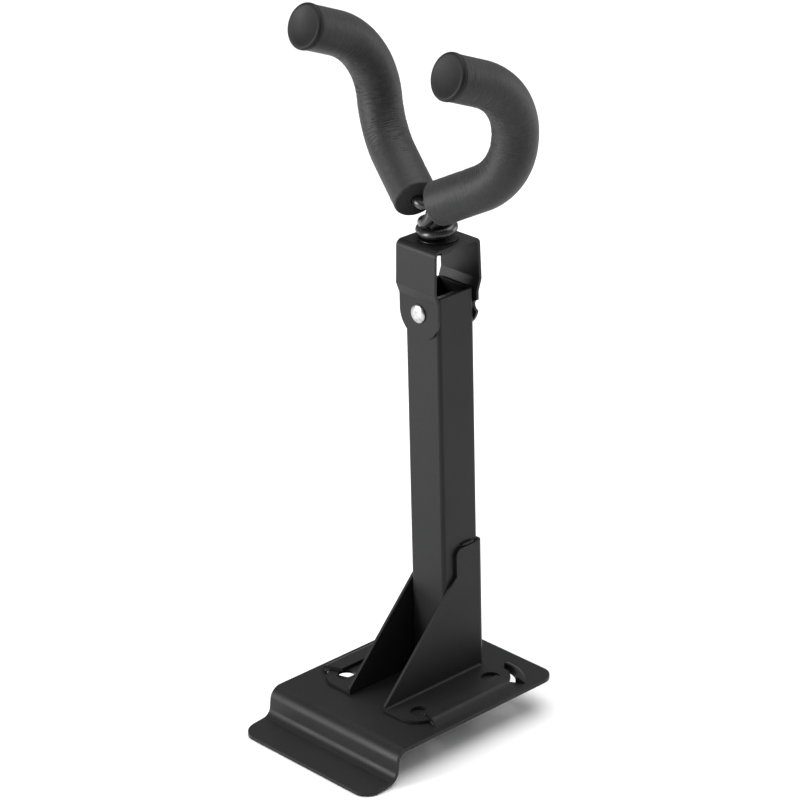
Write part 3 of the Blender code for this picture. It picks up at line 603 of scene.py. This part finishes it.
cut(head_sheet, round_tool("cap_hinge_hole", hinge_hole, (0, PIVOT_HEIGHT), "Y",
                           -CUT_ACROSS, CUT_ACROSS))
cut(head_sheet, round_tool("ear_notch", NOTCH_RADIUS, (EAR_RADIUS + NOTCH_OUT, PIVOT_HEIGHT),
                           "Y", half_tube, CUT_ACROSS))
cut(head_sheet, round_tool("bolt_hole", BOLT_THREAD / 2 + HOLE_CLEARANCE, (0, 0), "Z",
                           CAP_TOP - SHEET - CUT_PAST, past_cap))
finish(head_sheet, "head", ["head_cap"], powder_coat)


# ---------------------------------------------------------------- hinge rivet
# Zinc-plated steel: a low domed head in front, a formed tail behind.

RIVET_HEAD = 9.9
RIVET_HEAD_HEIGHT = 1.5
RIVET_DOME = 0.62
RIVET_RIM = 0.3
RIVET_TAIL = 9.0
RIVET_TAIL_HEIGHT = 1.6
# Round of the tail: how far in from its rim and what share of its height.
RIVET_TAIL_ROUND = ((0.0, 0.5), (0.5, 0.85), (1.2, 1.0))
# Dimple in the tail: radius and depth.
RIVET_DIMPLE = ((1.2, 0.0), (0.9, 0.5), (0.0, 0.6))

seat = SIDE_OUT + GAP
rivet_profile = [(0, seat + RIVET_HEAD_HEIGHT)]
for share in (0.2, 0.4, 0.6, 0.75, 0.87, 0.95):
    rise = RIVET_HEAD_HEIGHT * (1 - share ** 4 * RIVET_DOME)
    rivet_profile.append((RIVET_HEAD / 2 * share, seat + rise))
rivet_profile += [(RIVET_HEAD / 2 - RIVET_RIM / 6, seat + RIVET_RIM * 1.5),
                  (RIVET_HEAD / 2, seat + RIVET_RIM), (RIVET_HEAD / 2, seat),
                  (RIVET_SHANK / 2, seat), (RIVET_SHANK / 2, -seat), (RIVET_TAIL / 2, -seat)]
rivet_profile += [(RIVET_TAIL / 2 - inset, -seat - RIVET_TAIL_HEIGHT * share)
                  for inset, share in RIVET_TAIL_ROUND]
rivet_profile += [(radius, -seat - RIVET_TAIL_HEIGHT + depth)
                  for radius, depth in RIVET_DIMPLE]
rivet = turned("rivet_turned", rivet_profile, turn=across)
finish(rivet, "head", ["hinge_rivet"], bright_zinc, edge=0)


# ---------------------------------------------------------------- swivel bolt, washers, nut
# A shoulder bolt stands up through the head, with a wide thin washer under the coil, and a
# washer and hexagon nut inside the head.  Dark zinc.

BOLT_SHOULDER = 10.0
BOLT_HEAD = 12.2
BOLT_HEAD_HEIGHT = 2.6
BOLT_HEAD_ROUND = 1.0
BOLT_RECESS = 5.2
BOLT_RECESS_DEPTH = 1.4
BOLT_RECESS_TAPER = 0.3
BOLT_END = 1.2
BOLT_POINT = 0.6
THREAD_PITCH = 1.25
THREAD_DEPTH = 0.55
WASHER_OUTER = 21.0
WASHER_THICKNESS = 0.6
NUT_WASHER_OUTER = 16.0
NUT_WASHER_THICKNESS = 1.0
NUT_FLATS = 13.0
NUT_HEIGHT = 4.0
NUT_CHAMFER = 0.75
NUT_SKIN = 0.001
SMALL_EDGE = 0.12
ROD = 5.0
COIL_RADIUS = 7.8
CLIMB_START = 262.0
COIL_END = 600.0
COIL_PITCH = 5.7

dark_zinc = coat("dark_zinc", (0.035, 0.035, 0.037), roughness=0.36, grain=1500.0,
                 grain_depth=0.03, unevenness=0.07)
dark_zinc.node_tree.nodes["Principled BSDF"].inputs["Metallic"].default_value = 0.85
washer_bottom = CAP_TOP + GAP
coil_level = washer_bottom + WASHER_THICKNESS + GAP + ROD / 2
head_bottom = coil_level + COIL_PITCH * (COIL_END - CLIMB_START) / 360 + ROD / 2 + GAP
nut_washer_top = CAP_TOP - SHEET - GAP
nut_top = nut_washer_top - NUT_WASHER_THICKNESS - GAP
bolt_top = head_bottom + BOLT_HEAD_HEIGHT
bolt_end = nut_top - NUT_HEIGHT - BOLT_END
bolt_profile = [(0, bolt_top - BOLT_RECESS_DEPTH),
                (BOLT_RECESS / 2 - BOLT_RECESS_TAPER, bolt_top - BOLT_RECESS_DEPTH),
                (BOLT_RECESS / 2, bolt_top), (BOLT_HEAD / 2 - BOLT_HEAD_ROUND, bolt_top),
                (BOLT_HEAD / 2 - BOLT_HEAD_ROUND * 0.3, bolt_top - BOLT_HEAD_ROUND * 0.3),
                (BOLT_HEAD / 2, bolt_top - BOLT_HEAD_ROUND),
                (BOLT_HEAD / 2, head_bottom), (BOLT_SHOULDER / 2, head_bottom),
                (BOLT_SHOULDER / 2, CAP_TOP + GAP), (BOLT_THREAD / 2, CAP_TOP + GAP)]
level = CAP_TOP - THREAD_PITCH
while level > bolt_end + THREAD_PITCH:
    bolt_profile += [(BOLT_THREAD / 2, level),
                     (BOLT_THREAD / 2 - THREAD_DEPTH, level - THREAD_PITCH / 2)]
    level -= THREAD_PITCH
bolt_profile += [(BOLT_THREAD / 2, bolt_end + BOLT_POINT),
                 (BOLT_THREAD / 2 - BOLT_POINT, bolt_end), (0, bolt_end)]
bolt_turned = turned("bolt_turned", bolt_profile)
finish(bolt_turned, "head", ["swivel_bolt"], dark_zinc, edge=0)

washer_sizes = {
    "nut_washer": (BOLT_THREAD / 2 + HOLE_CLEARANCE, NUT_WASHER_OUTER / 2,
                   nut_washer_top - NUT_WASHER_THICKNESS, nut_washer_top),
    "coil_washer": (BOLT_SHOULDER / 2 + HOLE_CLEARANCE, WASHER_OUTER / 2,
                    washer_bottom, washer_bottom + WASHER_THICKNESS),
}
for node, (bore_radius, rim, low, high) in washer_sizes.items():
    ring = [(bore_radius, low), (rim, low), (rim, high), (bore_radius, high)]
    pressed = turned(node + "_pressed", ring, closed=True)
    finish(pressed, "head", [node], dark_zinc, edge=SMALL_EDGE)

nut_corner = NUT_FLATS / math.sqrt(3)
nut_bottom = nut_top - NUT_HEIGHT
hex_nut = round_tool("hex_nut", nut_corner, (0, 0), "Z", nut_bottom, nut_top, sides=6)
chamfer_rim = nut_corner + OVERLAP
chamfer = [(0, nut_top + NUT_SKIN), (NUT_FLATS / 2, nut_top + NUT_SKIN),
           (chamfer_rim, nut_top - NUT_CHAMFER), (chamfer_rim, nut_bottom + NUT_CHAMFER),
           (NUT_FLATS / 2, nut_bottom - NUT_SKIN), (0, nut_bottom - NUT_SKIN)]
cut(hex_nut, turned("nut_chamfer", chamfer), "INTERSECT")
cut(hex_nut, round_tool("nut_bore", BOLT_THREAD / 2 + HOLE_CLEARANCE, (0, 0), "Z",
                        nut_bottom - CUT_PAST, nut_top + CUT_PAST))
finish(hex_nut, "head", ["swivel_nut"], dark_zinc, edge=SMALL_EDGE)


# ---------------------------------------------------------------- yoke rod
# One 5 mm steel rod.  It makes a turn and a bit round the bolt, and both ends sweep out,
# up and back in to make the two arms.  Powder coated before the foam goes on.

COIL_START = 240.0
SPIRAL_START = 180.0
SPIRAL_OUT = 3.4
OVER_BOLT = (1.7, -1.3, 15.2)
BEHIND_COIL = (-5.6, 13.6, 7.4)
IN_FRONT = (3.5, -9.5, 8.8)
BACKWARD = (100, -4)
DOWNWARD = (120, -84)
UPWARD = (5, 45)
ARM_BASE = (3.55, -9.3, 16.0)
ARM_FIRST_RUN = 34.6
ARM_FIRST_BEND = 35.9
ARM_SECOND_BEND = 38.9
ARM_LAST_RUN = 21.7
HEADINGS = ((18.2, 26.3), (15.0, 79.7), (-92.3, 21.9))
YOKE_TURN = -3.6
PAD_START = {"right": 6.6, "left": 2.8}
LEAD_SHOWS = {"right": 0.3, "left": 0.6}
TIP_CAP_HEIGHT = 2.4
ROD_SHORT = 1.5
ROD_SIDES = 20
SPIRAL_STEPS = 12
COIL_STEPS = 90


def heading(azimuth, elevation):
    """Unit vector from two angles in degrees: azimuth from +X, and elevation."""
    flat = math.cos(math.radians(elevation))
    return Vector((flat * math.cos(math.radians(azimuth)),
                   flat * math.sin(math.radians(azimuth)),
                   math.sin(math.radians(elevation))))


def bent(start, before, after, radius, steps):
    """Points of an arc that turns one heading into another, without its first point."""
    axis = before.cross(after).normalized()
    centre = start + axis.cross(before) * radius
    turns = [Matrix.Rotation(before.angle(after) * k / steps, 3, axis)
             for k in range(1, steps + 1)]
    return [centre + turn @ (start - centre) for turn in turns]


def straight(start, along, length, steps):
    """Points of a straight run, without its first point."""
    return [start + along * length * k / steps for k in range(1, steps + 1)]


def eased(start, leaving, end, arriving, pulls, steps):
    """Smooth run between two points with set headings, without its first point."""
    return interpolate_bezier(start, start + leaving * pulls[0], end - arriving * pulls[1],
                              end, steps + 1)[1:]


def coil_point(angle, radius):
    """A point of the coil, which lies flat at first and then climbs."""
    climb = max(angle - CLIMB_START, 0) / 360 * COIL_PITCH
    turn = math.radians(angle)
    return Vector((radius * math.cos(turn), radius * math.sin(turn), coil_level + climb))


def coil_heading(angle, climb=0.0):
    """The coil's direction at an angle."""
    turn = math.radians(angle)
    return Vector((-math.sin(turn), math.cos(turn), climb)).normalized()


base = Vector(ARM_BASE) + Vector((0, 0, coil_level))
first, second, third = (heading(*pair) for pair in HEADINGS)
arm_line = [base] + straight(base, first, ARM_FIRST_RUN, 70)
arm_line += bent(arm_line[-1], first, second, ARM_FIRST_BEND, 68)
arm_line += bent(arm_line[-1], second, third, ARM_SECOND_BEND, 170)
arm_line += straight(arm_line[-1], third, ARM_LAST_RUN, 45)
left_arm_line = [Vector((-p.x, p.y, p.z)) for p in arm_line]

inward = Vector((first.x, -first.y, -first.z))
lift = Vector((0, 0, coil_level))
over_bolt, behind, in_front = (Vector(point) + lift
                               for point in (OVER_BOLT, BEHIND_COIL, IN_FRONT))
backward, downward, upward = (heading(*pair) for pair in (BACKWARD, DOWNWARD, UPWARD))
spiral = COIL_RADIUS + SPIRAL_OUT


def shortened(line, start, end):
    """The line less a length at each end."""
    line = [point.copy() for point in line]
    for length in (start, end):
        while (line[1] - line[0]).length < length:
            length -= (line[1] - line[0]).length
            line.pop(0)
        line[0] += (line[1] - line[0]).normalized() * length
        line.reverse()
    return line


rod_line = shortened(left_arm_line, PAD_START["left"] - LEAD_SHOWS["left"], 0)[::-1]
rod_line += eased(rod_line[-1], inward, over_bolt, backward, pulls=(4.4, 4.3), steps=24)
rod_line += eased(rod_line[-1], backward, behind, downward, pulls=(5.3, 6.3), steps=26)
rod_line += eased(rod_line[-1], downward, coil_point(SPIRAL_START, spiral),
                  coil_heading(SPIRAL_START), pulls=(5.5, 8.0), steps=24)
for k in range(1, SPIRAL_STEPS + 1):
    rod_line.append(coil_point(SPIRAL_START + (COIL_START - SPIRAL_START) * k / SPIRAL_STEPS,
                               spiral - SPIRAL_OUT * k / SPIRAL_STEPS))
for k in range(1, COIL_STEPS + 1):
    rod_line.append(coil_point(COIL_START + (COIL_END - COIL_START) * k / COIL_STEPS,
                               COIL_RADIUS))
rod_line += eased(rod_line[-1], coil_heading(COIL_END, climb=0.1), in_front, upward,
                  pulls=(4.7, 3.7), steps=16)
right_lead_end = base + first * (PAD_START["right"] - LEAD_SHOWS["right"])
rod_line += eased(rod_line[-1], upward, right_lead_end, first, pulls=(4.0, 4.0), steps=16)
rod_line += shortened(arm_line, PAD_START["right"], 0)


def next_ring(bm, ring):
    """Extrude a ring of vertices.  The new ring has the same order as the old one."""
    edges = [bm.edges.get(pair) for pair in zip(ring, ring[1:] + ring[:1])]
    grown = bmesh.ops.extrude_edge_only(bm, edges=edges)
    made = {item for item in grown["geom"] if isinstance(item, bmesh.types.BMVert)}
    return [next(edge.other_vert(vert) for edge in vert.link_edges
                 if edge.other_vert(vert) in made) for vert in ring]


def swept(name, line, sides, radius_at):
    """A tube round a line, turned with the yoke.

    radius_at(index, out) gives the radius at a point of the line, in the direction out.
    """
    bm = bmesh.new()
    ring = bmesh.ops.create_circle(bm, cap_ends=False, segments=sides, radius=1.0)["verts"]
    side = (line[1] - line[0]).orthogonal().normalized()
    last = len(line) - 1
    for index, point in enumerate(line):
        ahead = (line[min(index + 1, last)] - line[max(index - 1, 0)]).normalized()
        side = (side - ahead * side.dot(ahead)).normalized()
        up = ahead.cross(side)
        if index:
            ring = next_ring(bm, ring)
        for number, vert in enumerate(ring):
            angle = 2 * math.pi * number / sides
            out = side * math.cos(angle) + up * math.sin(angle)
            vert.co = point + out * radius_at(index, out)
    bmesh.ops.holes_fill(bm, edges=bm.edges, sides=sides)
    yoke_turn = Matrix.Rotation(math.radians(YOKE_TURN), 3, "Z")
    bmesh.ops.rotate(bm, cent=(0, 0, 0), matrix=yoke_turn, verts=bm.verts)
    return from_bmesh(name, bm)


rod_coat = coat("black_rod_coat", (0.012, 0.012, 0.0125), roughness=0.3, grain=2200.0,
                grain_depth=0.03, unevenness=0.06, gloss=0.6)
pad_end = TIP_CAP_HEIGHT + GAP + ROD_SHORT
bent_rod = swept("bent_rod", shortened(rod_line, pad_end, pad_end), ROD_SIDES,
                 lambda index, out: ROD / 2)
finish(bent_rod, "yoke", ["yoke_rod"], rod_coat, edge=0)


# ---------------------------------------------------------------- foam padding
# Thick closed-cell foam sleeves pushed over both arms.  The skin is matte, and it gathers
# into fine creases across the inside of each bend.

PAD_RADIUS = 11.7
PAD_INSET = 0.05
PAD_SIDES = 64
BORE_SIDES = 32
BORE_PLAY = 0.6
BORE_POINTS = 40
CREASE_DEPTH = 0.3
CREASE_EVERY = 1.5
CREASE_WANDER = 1.1
SHARPNESS = 4.0         # how narrow a crease is
CREASE_WRAP = 0.35      # how far creases reach round from the inside of a bend
BEND_POINTS = 16        # how many points each way tell that the line bends
BEND_LEAST = 0.02
BEND_FULL = 0.6
SMOOTH_POINTS = 30
SWELL = 0.06
BASE_RIM = 1.0
TIP_RIM = 0.7

foam = bpy.data.materials.new("foam_black")
foam.use_nodes = True
foam_tree = foam.node_tree
foam_shader = foam_tree.nodes["Principled BSDF"]
foam_shader.inputs["Roughness"].default_value = 0.55
foam_shader.inputs["Specular IOR Level"].default_value = 0.3
foam_shader.inputs["Sheen Weight"].default_value = 0.05
foam_shader.inputs["Sheen Roughness"].default_value = 0.6
foam_place = foam_tree.nodes.new("ShaderNodeTexCoord")
cells = foam_tree.nodes.new("ShaderNodeTexVoronoi")
cells.inputs["Scale"].default_value = 1700.0
skin = foam_tree.nodes.new("ShaderNodeTexNoise")
skin.inputs["Scale"].default_value = 420.0
skin.inputs["Detail"].default_value = 5.0
for pattern in (cells, skin):
    foam_tree.links.new(foam_place.outputs["Object"], pattern.inputs["Vector"])
foam_tone = foam_tree.nodes.new("ShaderNodeValToRGB")
foam_tone.color_ramp.elements[0].position = 0.3
foam_tone.color_ramp.elements[0].color = (0.0085, 0.0085, 0.0088, 1.0)
foam_tone.color_ramp.elements[1].position = 0.75
foam_tone.color_ramp.elements[1].color = (0.015, 0.015, 0.0155, 1.0)
foam_tree.links.new(skin.outputs["Fac"], foam_tone.inputs["Fac"])
foam_tree.links.new(foam_tone.outputs["Color"], foam_shader.inputs["Base Color"])
pores = foam_tree.nodes.new("ShaderNodeBump")
pores.inputs["Distance"].default_value = 0.05 * MM
foam_tree.links.new(cells.outputs["Distance"], pores.inputs["Height"])
wrinkled = foam_tree.nodes.new("ShaderNodeBump")
wrinkled.inputs["Distance"].default_value = 0.12 * MM
foam_tree.links.new(skin.outputs["Fac"], wrinkled.inputs["Height"])
foam_tree.links.new(pores.outputs["Normal"], wrinkled.inputs["Normal"])
foam_tree.links.new(wrinkled.outputs["Normal"], foam_shader.inputs["Normal"])


def foam_sleeve(side, line):
    """Sleeve with creases inside the bends, rounded rims and a bore for the rod."""
    line = shortened(line, PAD_START[side], TIP_CAP_HEIGHT + GAP)
    last = len(line) - 1
    travelled = [0.0]
    for before, after in zip(line, line[1:]):
        travelled.append(travelled[-1] + (after - before).length)
    inner_sides = []
    for index in range(len(line)):
        back, ahead = (line[max(min(index + step, last), 0)]
                       for step in (-BEND_POINTS, BEND_POINTS))
        bow = (back + ahead) / 2 - line[index]
        bent_by = min(bow.length / BEND_FULL, 1.0)
        inner_sides.append(bow.normalized() * bent_by if bow.length > BEND_LEAST else Vector())

    def skin_radius(index, out):
        along = travelled[index]
        near = inner_sides[max(index - SMOOTH_POINTS, 0):index + SMOOTH_POINTS + 1]
        towards = sum((inner.dot(out) for inner in near), 0.0) / len(near)
        strength = min(max(towards + CREASE_WRAP, 0.0) / 0.9, 1.0)
        patch = 0.75 + 0.5 * noise.noise(Vector((along * 0.12, out.x * 1.5, out.z * 1.5)))
        drift = noise.noise(Vector((along * 0.06, out.x * 1.6, out.y * 1.6 + out.z)))
        wander = along + CREASE_WANDER * drift
        coarse = noise.noise(Vector((wander * 1.9 / CREASE_EVERY, out.x * 0.9, out.z * 0.9)))
        fine = noise.noise(Vector((wander * 2.6, out.z * 1.7, out.x * 1.7 + 7.0)))
        depth = max(0.0, 1 - abs(coarse) * SHARPNESS)
        depth += 0.5 * max(0.0, 1 - abs(fine) * SHARPNESS)
        depth *= CREASE_DEPTH * (0.1 + 0.9 * strength) * max(patch, 0.0)
        base_rim = min(along / BASE_RIM, 1.0)
        tip_rim = min((travelled[-1] - along) / TIP_RIM, 1.0)
        rounding = BASE_RIM * (1 - math.sqrt(1 - (1 - base_rim) ** 2))
        rounding += TIP_RIM * (1 - math.sqrt(1 - (1 - tip_rim) ** 2))
        swell = SWELL * noise.noise(line[index] * 0.08 + out)
        return PAD_RADIUS - PAD_INSET - rounding - depth + swell

    sleeve = swept(f"foam_sleeve_{side}", line, PAD_SIDES, skin_radius)
    outside = line[0] * 2 - line[5]
    bore = swept("sleeve_bore", [outside] + line[1:BORE_POINTS], BORE_SIDES,
                 lambda index, out: ROD / 2 + BORE_PLAY)
    cut(sleeve, bore)
    finish(sleeve, "yoke", [f"pad_{side}"], foam, edge=0)


foam_sleeve("right", arm_line)
foam_sleeve("left", left_arm_line)


# ---------------------------------------------------------------- tip caps
# A soft moulded disc glued on the end of each sleeve, with a rounded rim and a face that
# is dished a little.

TIP_CAP_RADIUS = 12.0
TIP_CAP_ROUND = 1.5
# Dish in the face: radius and height.
TIP_DISH = ((0, -1.3), (2.0, -1.27), (4.0, -1.15), (6.0, -0.9), (7.6, -0.58), (9.0, -0.24),
            (10.0, -0.05))

vinyl = coat("vinyl_black", (0.0085, 0.0085, 0.0088), roughness=0.5, grain=1300.0,
             grain_depth=0.03, unevenness=0.06, gloss=0.17)
cap_profile = list(TIP_DISH)
cap_profile += arc((TIP_CAP_RADIUS - TIP_CAP_ROUND, -TIP_CAP_ROUND), TIP_CAP_ROUND, 90, 0, 6)
cap_profile += [(TIP_CAP_RADIUS, -TIP_CAP_HEIGHT), (0, -TIP_CAP_HEIGHT)]
for side, line in (("right", arm_line), ("left", left_arm_line)):
    outward = (line[-1] - line[-2]).normalized()
    stand = Matrix.Rotation(math.radians(YOKE_TURN), 4, "Z") @ Matrix.Translation(line[-1])
    turn = stand @ outward.to_track_quat("Z", "Y").to_matrix().to_4x4()
    disc = turned(f"tip_disc_{side}", cap_profile, turn=turn)
    finish(disc, "yoke", [f"tip_cap_{side}"], vinyl, edge=0)
